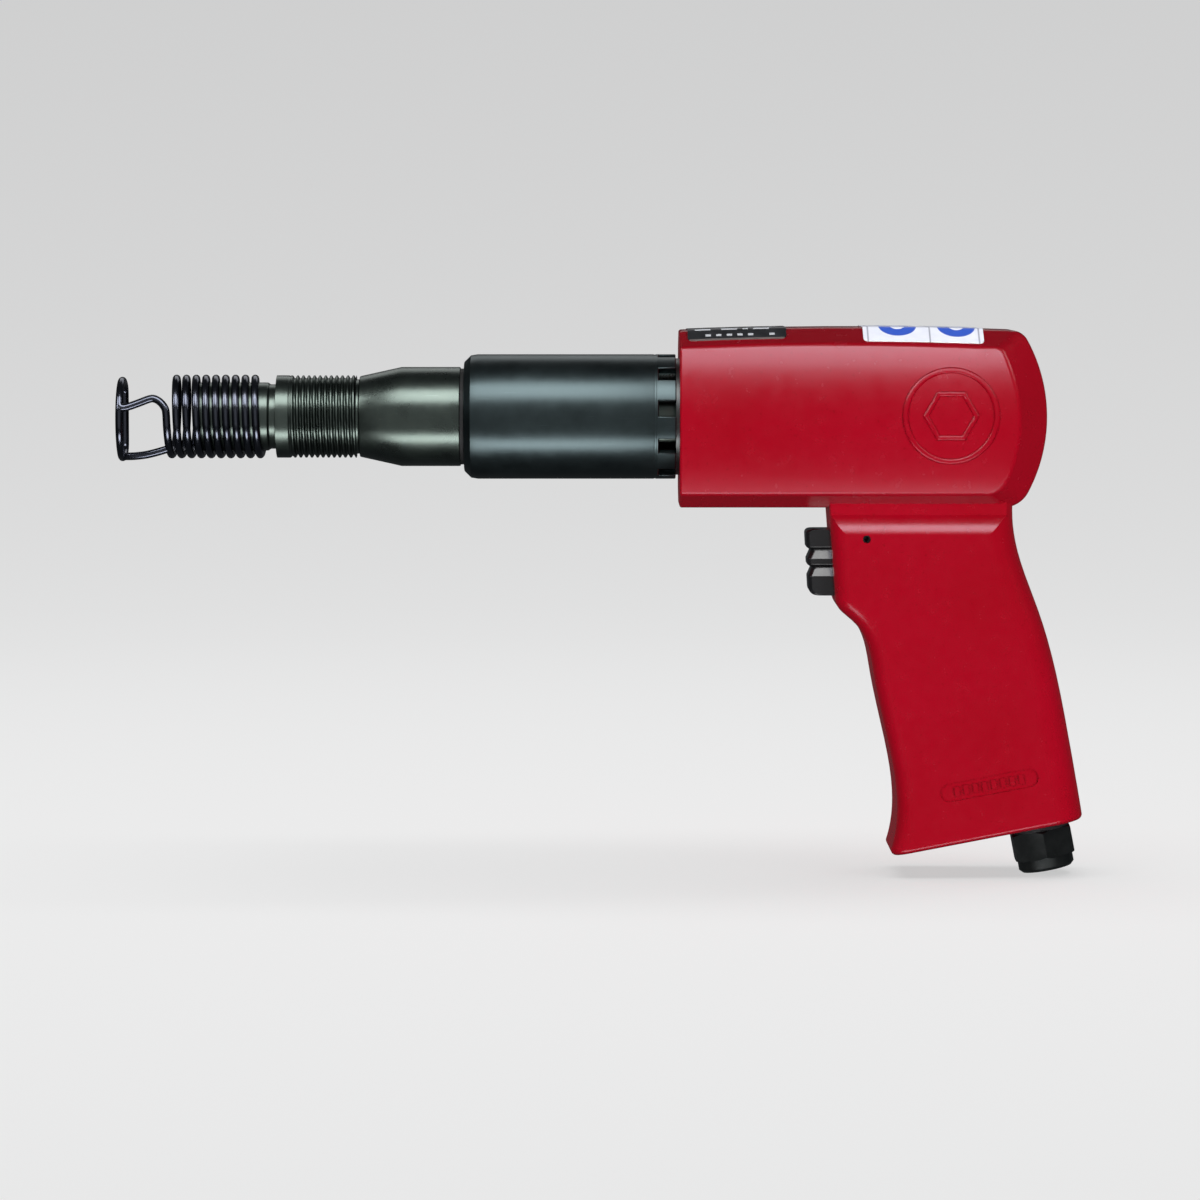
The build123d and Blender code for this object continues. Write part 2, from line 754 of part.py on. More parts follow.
# ------------------------------------------------------------------ trigger and its pin
with BuildPart() as trigger:
    with BuildSketch(Plane.XZ):
        with BuildLine():
            Polyline((trigger_front, trigger_top), (trigger_front + trigger_rake, trigger_bottom),
                     (trigger_back, trigger_bottom), (trigger_back, trigger_top), close=True)
        make_face()
    extrude(amount=trigger_half_width, both=True)
    middle_edges = trigger.edges().filter_by(lambda e: abs(e.center().Y) < 0.1)
    fillet(middle_edges.sort_by(Axis.X)[:2].sort_by(Axis.Z)[0], radius=trigger_foot_round)
    middle_edges = trigger.edges().filter_by(lambda e: abs(e.center().Y) < 0.1)
    fillet(middle_edges.sort_by(Axis.X)[:3].sort_by(Axis.Z)[-1], radius=trigger_top_round)
    # Grip grooves run round the front and both sides.
    for groove_z in rib_groove_zs:
        for side in (-1, 1):
            with BuildSketch(Plane.YZ.offset(trigger_front - 1)):
                with BuildLine():
                    Polyline((side * trigger_half_width, groove_z + rib_groove_rise),
                             (side * (trigger_half_width - rib_groove_depth), groove_z),
                             (side * trigger_half_width, groove_z - rib_groove_fall), close=True)
                make_face()
            extrude(amount=rib_groove_reach + 1, mode=Mode.SUBTRACT)
        face_x = trigger_front + trigger_rake * (trigger_top - groove_z) / (trigger_top - trigger_bottom)
        with BuildSketch(Plane.XZ):
            with BuildLine():
                Polyline((trigger_front - 1, groove_z + rib_groove_rise),
                         (face_x, groove_z + rib_groove_rise),
                         (face_x + rib_groove_depth, groove_z),
                         (face_x, groove_z - rib_groove_fall),
                         (trigger_front - 1, groove_z - rib_groove_fall), close=True)
            make_face()
        extrude(amount=trigger_half_width + 1, both=True, mode=Mode.SUBTRACT)
    # The pin passes through a slot, which sets how far the trigger travels.
    with BuildSketch(Plane.XZ):
        with Locations((pin_x - trigger_travel / 2, pin_z)):
            slot_radius = pin_radius + pin_slot_gap
            SlotOverall(trigger_travel + 2 * (slot_radius + pin_slot_gap), 2 * slot_radius)
    extrude(amount=trigger_half_width + 1, both=True, mode=Mode.SUBTRACT)
trigger.part.label = "trigger"
export_step(trigger.part, "parts/trigger.step")

with BuildPart() as trigger_pin:
    with BuildSketch(Plane.XZ):
        with Locations((pin_x, pin_z)):
            Circle(pin_radius)
            Circle(pin_radius - pin_wall, mode=Mode.SUBTRACT)
            with Locations((0, -pin_radius)):
                Rectangle(pin_slit, 3 * pin_wall, mode=Mode.SUBTRACT)
    extrude(amount=pin_half_length, both=True)
trigger_pin.part.label = "trigger_pin"
export_step(trigger_pin.part, "parts/trigger_pin.step")

# ------------------------------------------------------------------ throttle bushing, valve, spring and seals
with BuildPart() as throttle_bushing:
    revolve(
        half_outline(
            throttle_plane,
            (bushing_front, stem_radius + running_gap),
            (bushing_front, bushing_radius),
            (bushing_rear, bushing_radius),
            (bushing_rear, gallery_radius),
            (bushing_front + bushing_web, gallery_radius),
            (bushing_front + bushing_web, stem_radius + running_gap),
        ),
        axis=throttle_axis,
    )
    # Seats of the two seal rings, and the wide air groove between them.
    grooves = (
        (bushing_seal_front, bushing_seal_half_width, bushing_seal_depth),
        (gallery_x, gallery_half_width, gallery_depth),
        (bushing_seal_rear, bushing_seal_half_width, bushing_seal_depth),
    )
    for groove_x, half_width, depth in grooves:
        with BuildSketch(throttle_plane):
            with Locations((groove_x, bushing_radius)):
                Rectangle(2 * half_width, 2 * depth)
        revolve(axis=throttle_axis, mode=Mode.SUBTRACT)
    hole_places = ((Plane.XZ, (gallery_x, throttle_z)), (Plane.XY.offset(throttle_z), (gallery_x, 0)))
    for across, centre in hole_places:
        with BuildSketch(across):
            with Locations(centre):
                Circle(gallery_hole_radius)
        extrude(amount=bushing_radius + 1, both=True, mode=Mode.SUBTRACT)
throttle_bushing.part.label = "throttle_bushing"
export_step(throttle_bushing.part, "parts/throttle_bushing.step")

with BuildPart() as bushing_seals:
    for along in (bushing_seal_front, bushing_seal_rear):
        ring = ring_outline(throttle_plane, along, bushing_radius - bushing_seal_depth / 2, bushing_seal_cord)
        revolve(ring, axis=throttle_axis)
bushing_seals.part.label = "bushing_seals"
export_step(bushing_seals.part, "parts/bushing_seals.step")

with BuildPart() as throttle_valve:
    revolve(
        half_outline(
            throttle_plane,
            (trigger_back, 0),
            (trigger_back, stem_radius - throttle_neck / 2),
            (trigger_back + throttle_neck / 2, stem_radius),
            (throttle_head_front - throttle_neck, stem_radius),
            (throttle_head_front, stem_radius + throttle_neck),
            (throttle_head_front, throttle_head_radius),
            (throttle_head_rear, throttle_head_radius),
            (throttle_head_rear, throttle_tail_radius),
            (throttle_head_rear + throttle_tail_length, throttle_tail_radius),
            (throttle_head_rear + throttle_tail_length, 0),
        ),
        axis=throttle_axis,
    )
throttle_valve.part.label = "throttle_valve"
export_step(throttle_valve.part, "parts/throttle_valve.step")

with BuildPart() as throttle_seat_ring:
    seat_cord = (throttle_head_front - bushing_rear) / 2
    revolve(ring_outline(throttle_plane, bushing_rear + seat_cord, seat_ring_radius, seat_cord),
            axis=throttle_axis)
throttle_seat_ring.part.label = "throttle_seat_ring"
export_step(throttle_seat_ring.part, "parts/throttle_seat_ring.step")

with BuildPart() as throttle_spring:
    with BuildLine() as spring_path:
        spring_front = throttle_head_rear + throttle_spring_wire + throttle_spring_gap
        Helix(throttle_spring_length / throttle_spring_turns, throttle_spring_length,
              throttle_spring_radius, center=(spring_front, 0, throttle_z), direction=(1, 0, 0))
    with BuildSketch(Plane(origin=spring_path.line @ 0, z_dir=spring_path.line % 0)):
        Circle(throttle_spring_wire)
    sweep()
throttle_spring.part.label = "throttle_spring"
export_step(throttle_spring.part, "parts/throttle_spring.step")

# ------------------------------------------------------------------ inlet bushing, gasket and screen
with BuildPart() as inlet_bushing:
    seat_depth = inlet_mouth - inlet_length
    screen_depth = seat_depth - screen_thickness
    spigot_radius_at_inlet = socket_radius - assembly_gap
    with BuildSketch(inlet_across.offset(gasket_thickness)):
        RegularPolygon(hex_flats / 2, 6, major_radius=False)
    extrude(amount=hex_end - gasket_thickness)
    # The hexagon's corners are turned down at both ends.
    slope_length = hex_corner_slope * (hex_outside - hex_corner_radius)
    revolve(
        half_outline(
            inlet_side,
            (gasket_thickness, 0),
            (gasket_thickness, hex_corner_radius),
            (gasket_thickness + slope_length, hex_outside),
            (hex_end - slope_length, hex_outside),
            (hex_end, hex_corner_radius),
            (hex_end, 0),
        ),
        axis=inlet_axis,
        mode=Mode.INTERSECT,
    )
    # The spigot in the handle and the collar at the mouth.
    revolve(
        half_outline(
            inlet_side,
            (-spigot_depth, 0),
            (-spigot_depth, spigot_radius_at_inlet),
            (gasket_thickness, spigot_radius_at_inlet),
            (gasket_thickness, inlet_collar_radius),
            (inlet_mouth - inlet_mouth_chamfer, inlet_collar_radius),
            (inlet_mouth, inlet_collar_radius - inlet_mouth_chamfer),
            (inlet_mouth, 0),
        ),
        axis=inlet_axis,
    )
    # The threaded mouth, the screen's seat and the passage.
    revolve(
        half_outline(
            inlet_side,
            (inlet_mouth + 1, 0),
            (inlet_mouth + 1, inlet_radius),
            (seat_depth, inlet_radius),
            (seat_depth, screen_seat_radius),
            (screen_depth, screen_seat_radius),
            (screen_depth, supply_radius),
            (-spigot_depth - 1, supply_radius),
            (-spigot_depth - 1, 0),
        ),
        axis=inlet_axis,
        mode=Mode.SUBTRACT,
    )
inlet_bushing.part.label = "inlet_bushing"
export_step(inlet_bushing.part, "parts/inlet_bushing.step")

with BuildPart() as inlet_gasket:
    with BuildSketch(inlet_across.offset(gasket_end_gap)):
        Circle(gasket_radius)
        Circle(socket_radius + gasket_gap, mode=Mode.SUBTRACT)
    extrude(amount=gasket_thickness - 2 * gasket_end_gap)
inlet_gasket.part.label = "inlet_gasket"
export_step(inlet_gasket.part, "parts/inlet_gasket.step")

with BuildPart() as inlet_screen:
    with BuildSketch(inlet_across.offset(screen_depth)):
        Circle(screen_seat_radius - assembly_gap)
        with GridLocations(screen_wire_pitch, screen_wire_pitch, screen_openings, screen_openings):
            Rectangle(screen_opening, screen_opening, mode=Mode.SUBTRACT)
    extrude(amount=screen_thickness - gasket_gap)
inlet_screen.part.label = "inlet_screen"
export_step(inlet_screen.part, "parts/inlet_screen.step")
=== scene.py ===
"""Looks of the pneumatic air hammer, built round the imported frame. All lengths are in metres."""

import json
import math

import bmesh
import bpy
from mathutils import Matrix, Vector


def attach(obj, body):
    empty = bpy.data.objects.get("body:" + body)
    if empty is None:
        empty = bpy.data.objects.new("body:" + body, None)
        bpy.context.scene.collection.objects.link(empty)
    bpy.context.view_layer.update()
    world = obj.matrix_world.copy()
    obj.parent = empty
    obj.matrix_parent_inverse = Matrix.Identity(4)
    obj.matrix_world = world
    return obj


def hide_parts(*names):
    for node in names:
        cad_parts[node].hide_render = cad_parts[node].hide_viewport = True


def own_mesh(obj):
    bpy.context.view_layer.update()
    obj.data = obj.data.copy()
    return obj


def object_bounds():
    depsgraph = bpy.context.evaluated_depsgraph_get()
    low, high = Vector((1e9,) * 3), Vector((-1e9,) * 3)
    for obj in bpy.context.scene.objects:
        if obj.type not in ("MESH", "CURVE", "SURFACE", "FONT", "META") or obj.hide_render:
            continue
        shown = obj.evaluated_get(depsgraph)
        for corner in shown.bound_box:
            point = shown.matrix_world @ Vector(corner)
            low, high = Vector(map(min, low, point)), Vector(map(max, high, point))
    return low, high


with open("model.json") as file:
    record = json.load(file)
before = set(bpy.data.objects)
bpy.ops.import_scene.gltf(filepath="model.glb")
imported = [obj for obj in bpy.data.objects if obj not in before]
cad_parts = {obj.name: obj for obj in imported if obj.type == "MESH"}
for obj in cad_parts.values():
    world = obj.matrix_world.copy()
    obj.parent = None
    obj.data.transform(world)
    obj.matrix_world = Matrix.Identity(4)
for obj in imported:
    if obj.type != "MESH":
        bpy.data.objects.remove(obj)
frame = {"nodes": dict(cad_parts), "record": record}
cad_low, cad_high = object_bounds()

MM = 0.001
TURN = 2 * math.pi
DEGREE = math.pi / 180


# ------------------------------------------------------------------ material helpers

class Shader:
    """A node material under construction, with short ways to add the nodes that are used here."""

    def __init__(self, name):
        self.material = bpy.data.materials.new(name)
        self.material.use_nodes = True
        self.tree = self.material.node_tree
        self.bsdf = self.tree.nodes["Principled BSDF"]
        self.place = self.add("ShaderNodeTexCoord").outputs["Object"]

    def add(self, kind, **settings):
        node = self.tree.nodes.new(kind)
        for key, value in settings.items():
            setattr(node, key, value)
        return node

    def feed(self, socket, value):
        """Links a socket, or sets it to a number, a vector or a colour."""
        if isinstance(value, bpy.types.NodeSocket):
            self.tree.links.new(value, socket)
        elif isinstance(value, tuple) and socket.type == "RGBA":
            socket.default_value = (*value, 1.0)
        else:
            socket.default_value = value

    def compute(self, operation, *values):
        node = self.add("ShaderNodeMath", operation=operation)
        for socket, value in zip(node.inputs, values):
            self.feed(socket, value)
        return node.outputs[0]

    def axes(self):
        """The x, y and z of object coordinates, in millimetres."""
        split = self.add("ShaderNodeSeparateXYZ")
        self.feed(split.inputs[0], self.place)
        return [self.compute("DIVIDE", split.outputs[axis], MM) for axis in "XYZ"]

    def stretched(self, scale):
        """Object coordinates scaled by a vector, for grain that runs one way."""
        mapping = self.add("ShaderNodeMapping")
        mapping.inputs["Scale"].default_value = scale
        self.feed(mapping.inputs["Vector"], self.place)
        return mapping.outputs["Vector"]

    def noise(self, scale, detail=4.0, roughness=0.5, vector=None):
        node = self.add("ShaderNodeTexNoise")
        node.inputs["Scale"].default_value = scale
        node.inputs["Detail"].default_value = detail
        node.inputs["Roughness"].default_value = roughness
        self.feed(node.inputs["Vector"], vector or self.place)
        return node.outputs["Fac"]

    def spread(self, source, low, high, out_low=0.0, out_high=1.0):
        """Maps low..high of a value on to out_low..out_high, clamped."""
        node = self.add("ShaderNodeMapRange")
        self.feed(node.inputs["Value"], source)
        for key, value in zip(("From Min", "From Max", "To Min", "To Max"), (low, high, out_low, out_high)):
            node.inputs[key].default_value = value
        return node.outputs["Result"]

    def mix(self, factor, first, second):
        """A colour between first and second, which are colours or sockets."""
        first_colour, second_colour, result_colour = 6, 7, 2    # where this node keeps its colour sockets
        node = self.add("ShaderNodeMix", data_type="RGBA")
        self.feed(node.inputs["Factor"], factor)
        self.feed(node.inputs[first_colour], first)
        self.feed(node.inputs[second_colour], second)
        return node.outputs[result_colour]

    def bump(self, height, distance, strength=1.0, under=None):
        node = self.add("ShaderNodeBump")
        node.inputs["Distance"].default_value = distance
        node.inputs["Strength"].default_value = strength
        self.feed(node.inputs["Height"], height)
        if under is not None:
            self.feed(node.inputs["Normal"], under)
        return node.outputs["Normal"]

    def set(self, **values):
        """Sets or links the shader's own sockets, named with _ for a space."""
        for key, value in values.items():
            self.feed(self.bsdf.inputs[key.replace("_", " ")], value)
        return self.material


def red_paint():
    """Satin red paint with a faint orange peel."""
    s = Shader("red_paint")
    tone = s.spread(s.noise(28, detail=3), 0.35, 0.65)
    fleck = s.spread(s.noise(900, detail=2), 0.62, 0.75)
    colour = s.mix(tone, (0.39, 0.0003, 0.010), (0.42, 0.0005, 0.013))
    colour = s.mix(fleck, colour, (0.34, 0.0003, 0.008))
    gloss = s.spread(s.noise(260, detail=5), 0.3, 0.7, 0.22, 0.28)
    peel = s.bump(s.noise(450, detail=2), 0.00003, 0.12)
    return s.set(Base_Color=colour, Roughness=gloss, Normal=peel, Specular_IOR_Level=0.5)


def turned_steel(name, dark, light, rough_low, rough_high, ring_scale=9000, ring_depth=0.00001):
    """Steel turned about the X axis: fine rings, faint blotches of oxide and a few hairline scratches."""
    s = Shader(name)
    rings = s.noise(1.0, detail=2, vector=s.stretched((ring_scale, 6, 6)))
    blotch = s.spread(s.noise(90, detail=5, roughness=0.6), 0.3, 0.7)
    scratch = s.spread(s.noise(1.0, detail=3, vector=s.stretched((60, 2500, 2500))), 0.68, 0.72)
    colour = s.mix(blotch, dark, light)
    brighter = tuple(channel * 1.5 for channel in light)
    colour = s.mix(s.compute("MULTIPLY", scratch, 0.5), colour, brighter)
    gloss = s.spread(blotch, 0, 1, rough_low, rough_high)
    fine = s.bump(rings, ring_depth, 0.5)
    return s.set(Base_Color=colour, Roughness=gloss, Normal=fine, Metallic=1.0)


def moulded(name, colour, roughness, grain=2500, depth=0.00002, coat=0.0):
    """Moulded plastic or rubber with a fine grain."""
    s = Shader(name)
    tone = s.spread(s.noise(160, detail=4), 0.3, 0.7)
    light = tuple(channel * 1.5 + 0.002 for channel in colour)
    gloss = s.spread(s.noise(700, detail=3), 0.3, 0.7, roughness * 0.85, roughness * 1.15)
    skin = s.bump(s.noise(grain, detail=3), depth, 0.4)
    return s.set(Base_Color=s.mix(tone, colour, light), Roughness=gloss, Normal=skin, Coat_Weight=coat)


def printed_film():
    """White film with two plain blue discs on each side of the housing and thin grey rules."""
    s = Shader("label_film")
    x, y, _ = s.axes()
    top_half_width, bevel_stretch = 13.5, 0.17
    over_edge = s.compute("MAXIMUM", s.compute("SUBTRACT", s.compute("ABSOLUTE", y), top_half_width), 0.0)
    across = s.compute("MULTIPLY_ADD", over_edge, bevel_stretch, s.compute("ABSOLUTE", y))
    disc_y, disc_radius, hub_radius = 12.9, 6.0, 2.2
    ink = None
    for disc_x in (224.6, 243.4):
        from_x = s.compute("POWER", s.compute("SUBTRACT", x, disc_x), 2.0)
        from_y = s.compute("POWER", s.compute("SUBTRACT", across, disc_y), 2.0)
        distance = s.compute("SQRT", s.compute("ADD", from_x, from_y))
        disc = s.spread(distance, disc_radius, disc_radius + 0.15, 1.0, 0.0)
        hub = s.spread(distance, hub_radius, hub_radius + 0.15)
        disc = s.compute("MULTIPLY", disc, hub)
        ink = disc if ink is None else s.compute("MAXIMUM", ink, disc)
    rules = None
    for rule_x in (215.0, 234.8, 250.5):
        rule = s.spread(s.compute("ABSOLUTE", s.compute("SUBTRACT", x, rule_x)), 0.22, 0.3, 1.0, 0.0)
        rules = rule if rules is None else s.compute("MAXIMUM", rules, rule)
    tone = s.spread(s.noise(300, detail=3), 0.3, 0.7)
    paper = s.mix(tone, (0.80, 0.81, 0.84), (0.86, 0.87, 0.90))
    colour = s.mix(s.compute("MULTIPLY", rules, 0.6), paper, (0.12, 0.12, 0.16))
    colour = s.mix(ink, colour, (0.035, 0.10, 0.50))
    gloss = s.spread(tone, 0, 1, 0.28, 0.36)
    return s.set(Base_Color=colour, Roughness=gloss, Normal=s.bump(s.noise(900), 0.00001, 0.4))


def dashed_film():
    """Near-black film with rows of short pale dashes and a thin pale border along both sides."""
    s = Shader("dark_film")
    x, y, _ = s.axes()
    middle_x, half_length, half_width = 173.2, 13.8, 19.0
    row_pitch, dash_pitch, dash_share = 3.1, 1.7, 0.42
    across = s.compute("ABSOLUTE", y)
    rows = s.compute("DIVIDE", across, row_pitch)
    in_row = s.compute("ABSOLUTE", s.compute("SUBTRACT", s.compute("FRACT", rows), 0.5))
    cell = s.add("ShaderNodeCombineXYZ")
    s.feed(cell.inputs["X"], s.compute("FLOOR", s.compute("DIVIDE", x, dash_pitch)))
    s.feed(cell.inputs["Y"], s.compute("FLOOR", rows))
    pick = s.add("ShaderNodeTexWhiteNoise", noise_dimensions="2D")
    s.feed(pick.inputs["Vector"], cell.outputs[0])
    dash = s.compute("LESS_THAN", pick.outputs["Value"], dash_share)
    dash = s.compute("MULTIPLY", dash, s.spread(in_row, 0.15, 0.19, 1.0, 0.0))
    from_middle = s.compute("ABSOLUTE", s.compute("SUBTRACT", x, middle_x))
    dash = s.compute("MULTIPLY", dash, s.spread(from_middle, half_length, half_length + 0.1, 1.0, 0.0))
    border = s.spread(across, half_width - 0.35, half_width - 0.3)
    tone = s.spread(s.noise(300, detail=3), 0.3, 0.7)
    colour = s.mix(tone, (0.008, 0.008, 0.009), (0.014, 0.014, 0.016))
    colour = s.mix(dash, colour, (0.50, 0.51, 0.50))
    colour = s.mix(s.compute("MULTIPLY", border, 0.4), colour, (0.30, 0.24, 0.22))
    return s.set(Base_Color=colour, Roughness=s.spread(tone, 0, 1, 0.3, 0.4),
                 Normal=s.bump(s.noise(900), 0.00001, 0.4))


MATERIALS = {
    "red_paint": red_paint(),
    "barrel_steel": turned_steel("barrel_steel", (0.084, 0.104, 0.094), (0.116, 0.143, 0.128), 0.25, 0.33),
    "blued_steel": turned_steel("blued_steel", (0.050, 0.067, 0.071), (0.067, 0.089, 0.093), 0.29, 0.37),
    "black_steel": turned_steel("black_steel", (0.072, 0.078, 0.078), (0.125, 0.133, 0.133), 0.30, 0.42),
    "spring_steel": turned_steel("spring_steel", (0.070, 0.076, 0.100), (0.10, 0.108, 0.135), 0.15, 0.22,
                                 ring_scale=1500),
    "hard_steel": turned_steel("hard_steel", (0.45, 0.45, 0.46), (0.6, 0.6, 0.61), 0.15, 0.25),
    "mesh_steel": turned_steel("mesh_steel", (0.4, 0.4, 0.41), (0.55, 0.55, 0.56), 0.3, 0.4),
    "brass_turned": turned_steel("brass_turned", (0.5, 0.34, 0.12), (0.66, 0.47, 0.2), 0.22, 0.35),
    "black_rubber": moulded("black_rubber", (0.012, 0.012, 0.013), 0.65),
    "black_plastic": moulded("black_plastic", (0.008, 0.008, 0.009), 0.20, coat=0.4),
    "label_film": printed_film(),
    "dark_film": dashed_film(),
}

for row in frame["record"]["subparts"]:
    piece = frame["nodes"][row["node"]]
    for material_slot in piece.material_slots:
        material_slot.material = MATERIALS[row["material_slot"]]


# ------------------------------------------------------------------ mesh helpers

def new_piece(name, points, faces, body, slot, node, sharp_angle=35):
    """A mesh piece given in millimetres, that stands for a CAD node and moves with its body."""
    mesh = bpy.data.meshes.new(name)
    mesh.from_pydata([Vector(point) * MM for point in points], [], faces)
    work = bmesh.new()
    work.from_mesh(mesh)
    bmesh.ops.recalc_face_normals(work, faces=work.faces)
    work.to_mesh(mesh)
    work.free()
    mesh.shade_smooth()
    mesh.set_sharp_from_angle(angle=sharp_angle * DEGREE)
    mesh.materials.append(MATERIALS[slot])
    piece = bpy.data.objects.new(name, mesh)
    bpy.context.scene.collection.objects.link(piece)
    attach(piece, body)
    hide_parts(node)
    return piece


def add_bevel(piece, width, segments=2, angle=40):
    """Softens the sharp edges of a piece."""
    bevel = piece.modifiers.new("soft_edges", "BEVEL")
    bevel.width = width * MM
    bevel.segments = segments
    bevel.limit_method = "ANGLE"
    bevel.angle_limit = angle * DEGREE
    bevel.harden_normals = False


def softened(outline, reach, sharp_turn=18):
    """A closed outline whose sharp corners are replaced by small rounds."""
    longest_share, round_steps = 0.45, 3
    soft = []
    count = len(outline)
    for index, point in enumerate(outline):
        corner = Vector(point)
        back = Vector(outline[index - 1]) - corner
        ahead = Vector(outline[(index + 1) % count]) - corner
        if back.angle(-ahead) < sharp_turn * DEGREE:
            soft.append(corner)
            continue
        start = corner + back.normalized() * min(reach, back.length * longest_share)
        end = corner + ahead.normalized() * min(reach, ahead.length * longest_share)
        for step in range(round_steps + 1):
            along = step / round_steps
            soft.append(start.lerp(corner, along).lerp(corner.lerp(end, along), along))
    return soft


def band_faces(rings, sides, closed=False):
    """Faces between rings of points, each ring with the same number of sides."""
    faces = []
    for ring in range(rings if closed else rings - 1):
        next_ring = (ring + 1) % rings
        for side in range(sides):
            beside = (side + 1) % sides
            faces.append((ring * sides + side, ring * sides + beside,
                          next_ring * sides + beside, next_ring * sides + side))
    return faces


def turned(outline, angles, radius_at=None):
    """Points and faces of a closed outline of (x, radius) turned about the X axis."""
    points = []
    for x, radius in outline:
        for angle in angles:
            r = radius if radius_at is None else radius_at(x, radius, angle)
            points.append((x, r * math.cos(angle), r * math.sin(angle)))
    return points, band_faces(len(outline), len(angles), closed=True)


def smooth_path(points, steps=5):
    """A Catmull-Rom curve through the points."""
    points = [Vector(point) for point in points]
    padded = [points[0], *points, points[-1]]
    path = []
    for index in range(1, len(padded) - 2):
        before, start, end, after = padded[index - 1:index + 3]
        for step in range(steps):
            t = step / steps
            path.append(0.5 * (2 * start + (end - before) * t
                               + (2 * before - 5 * start + 4 * end - after) * t ** 2
                               + (3 * start - before - 3 * end + after) * t ** 3))
    path.append(points[-1])
    return path


def wire_along(path, radius, sides=14):
    """Points and faces of a round wire along a path, with small chamfers at its two ends."""
    chamfer, end_scale = 0.3 * radius, 0.7
    start_way = (path[1] - path[0]).normalized()
    end_way = (path[-1] - path[-2]).normalized()
    path = [path[0], path[0] + start_way * chamfer, *path[1:-1], path[-1] - end_way * chamfer, path[-1]]
    scales = [end_scale, *[1.0] * (len(path) - 2), end_scale]
    side_way = start_way.orthogonal().normalized()
    points = []
    for index, centre in enumerate(path):
        way = (path[min(index + 1, len(path) - 1)] - path[max(index - 1, 0)]).normalized()
        side_way = (side_way - way * side_way.dot(way)).normalized()
        up_way = way.cross(side_way)
        for side in range(sides):
            angle = side / sides * TURN
            offset = side_way * math.cos(angle) + up_way * math.sin(angle)
            points.append(centre + offset * radius * scales[index])
    ends = [tuple(range(sides)), tuple(range(len(points) - sides, len(points)))]
    return points, ends + band_faces(len(path), sides)


def joined(*parts):
    """Several (points, faces) pairs as one."""
    points, faces = [], []
    for part_points, part_faces in parts:
        first = len(points)
        points.extend(part_points)
        faces.extend(tuple(first + corner for corner in face) for face in part_faces)
    return points, faces


# ------------------------------------------------------------------ barrel, with its open thread

def make_barrel():
    """The stepped barrel, bored through, with a right-hand thread ahead of the taper."""
    nose, spigot_rear, spigot_radius, neck_radius = -1.0, 22.5, 11.0, 10.4
    thread_start, thread_land, thread_end = 25.2, 4.0, 50.9
    thread_radius, thread_depth, thread_pitch = 13.3, 0.95, 1.8
    relief_radius, taper_start, taper_start_radius = 12.0, 52.0, 13.0
    taper_end, front_radius, shoulder, rear_radius, rear = 65.5, 16.0, 84.5, 15.0, 186.0
    shank_radius, shank_depth, piston_bore = 5.15, 40.0, 9.55
    steps_per_pitch = 12
    crest_share, flank_share = 0.25, 0.6

    outline = [(nose, spigot_radius - 1), (nose + 1, spigot_radius), (spigot_rear, spigot_radius),
               (spigot_rear + 0.6, neck_radius), (thread_start, neck_radius)]
    thread_steps = round((thread_end - thread_start) / thread_pitch * steps_per_pitch)
    for step in range(thread_steps + 1):
        outline.append((thread_start + (thread_end - thread_start) * step / thread_steps, thread_radius))
    outline += [(thread_end, relief_radius), (taper_start, relief_radius), (taper_start, taper_start_radius),
                (taper_end, front_radius), (shoulder, front_radius), (shoulder, rear_radius),
                (rear, rear_radius), (rear, piston_bore), (shank_depth, piston_bore),
                (shank_depth, shank_radius), (0, shank_radius), (nose, shank_radius + 1)]

    def threaded(x, radius, angle):
        if abs(radius - thread_radius) > 0.001 or x < thread_start + thread_land:
            return radius
        fade = min(1.0, (x - thread_start - thread_land) / thread_pitch)
        phase = (x / thread_pitch - angle / TURN) % 1.0
        from_crest = abs(phase - 0.5) * 2
        groove = min(1.0, max(0.0, (from_crest - crest_share) / flank_share))
        return radius - thread_depth * fade * groove

    sides, edge_round = 168, 0.35
    angles = [side / sides * TURN for side in range(sides)]
    points, faces = turned(softened(outline, edge_round), angles, threaded)
    new_piece("barrel_turned", points, faces, "tool", "barrel_steel", "barrel")


make_barrel()


# ------------------------------------------------------------------ exhaust sleeve, slotted at the rear

